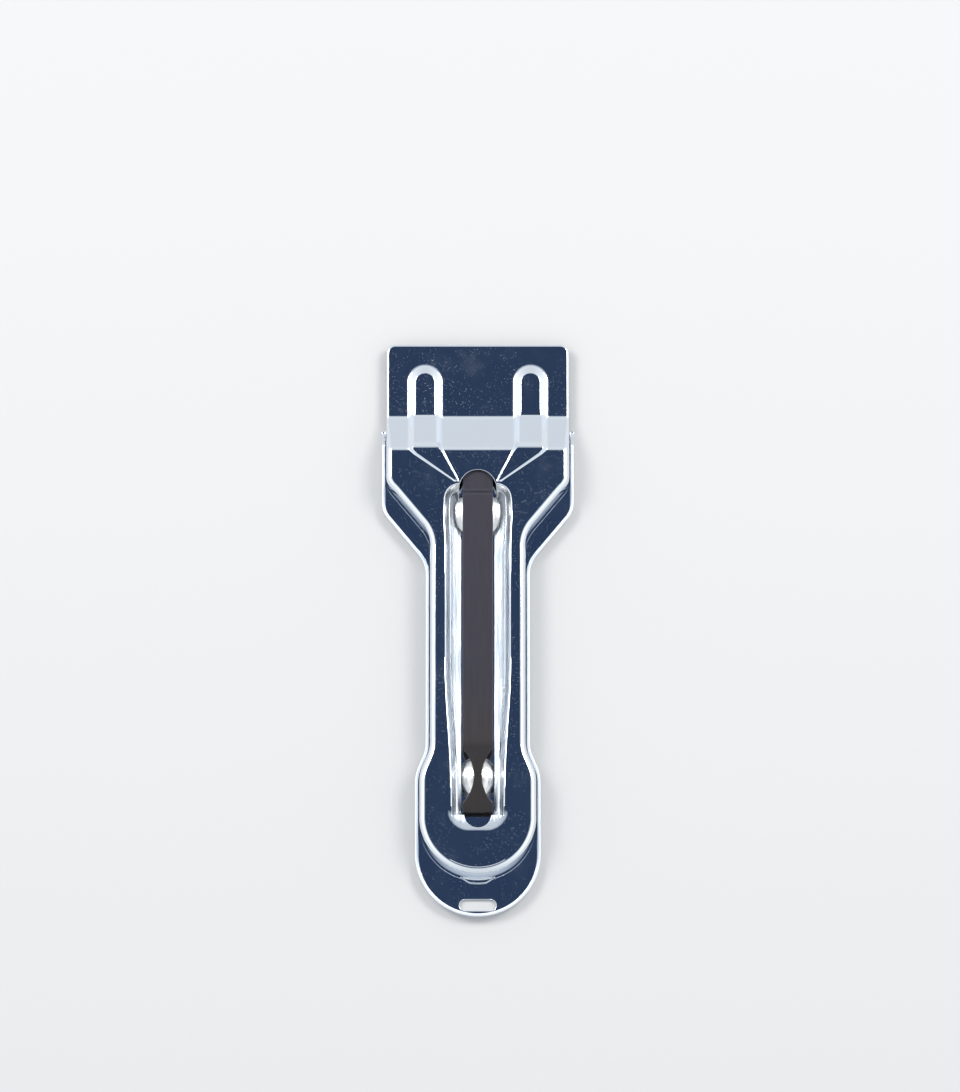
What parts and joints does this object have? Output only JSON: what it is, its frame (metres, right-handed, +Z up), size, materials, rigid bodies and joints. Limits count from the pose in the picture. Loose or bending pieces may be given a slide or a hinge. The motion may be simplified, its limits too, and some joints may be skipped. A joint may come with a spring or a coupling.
{
  "type": "ceramic hob scraper",
  "caption": "Pocket scraper for glass ceramic hobs: a pressed steel cover slides back on a steel tray and uncovers a razor blade.",
  "frame": {"origin": "under the middle of the whole scraper, on the flat underside of the tray", "axes": "+Y towards the blade edge, +X to the right seen from above, +Z up through the cover"},
  "size_m": [0.0472, 0.142, 0.0097],
  "materials": {
    "plated_steel": "bright plated sheet",
    "tray_steel": "bright plated sheet",
    "blade_steel": "ground",
    "folded_steel": "satin",
    "spring_steel": "dark blued",
    "rivet_steel": "nickel plated"
  },
  "bodies": {
    "tray": {"lower_tray": "tray_steel", "front_rivet": "rivet_steel", "rear_guide": "rivet_steel", "blade": "blade_steel", "blade_back": "folded_steel"},
    "cover": {"upper_cover": "plated_steel"},
    "leaf": {"leaf_spring": "spring_steel"}
  },
  "joints": [
    {"name": "cover_slide", "type": "slide", "parent": "tray", "child": "cover", "axis": [0, -1, 0], "range_m": [0, 0.0056]},
    {"name": "spring_press", "type": "slide", "parent": "cover", "child": "leaf", "axis": [0, 0, -1], "range_m": [0, 0.001], "stiffness_N_per_m": 6000}
  ]
}
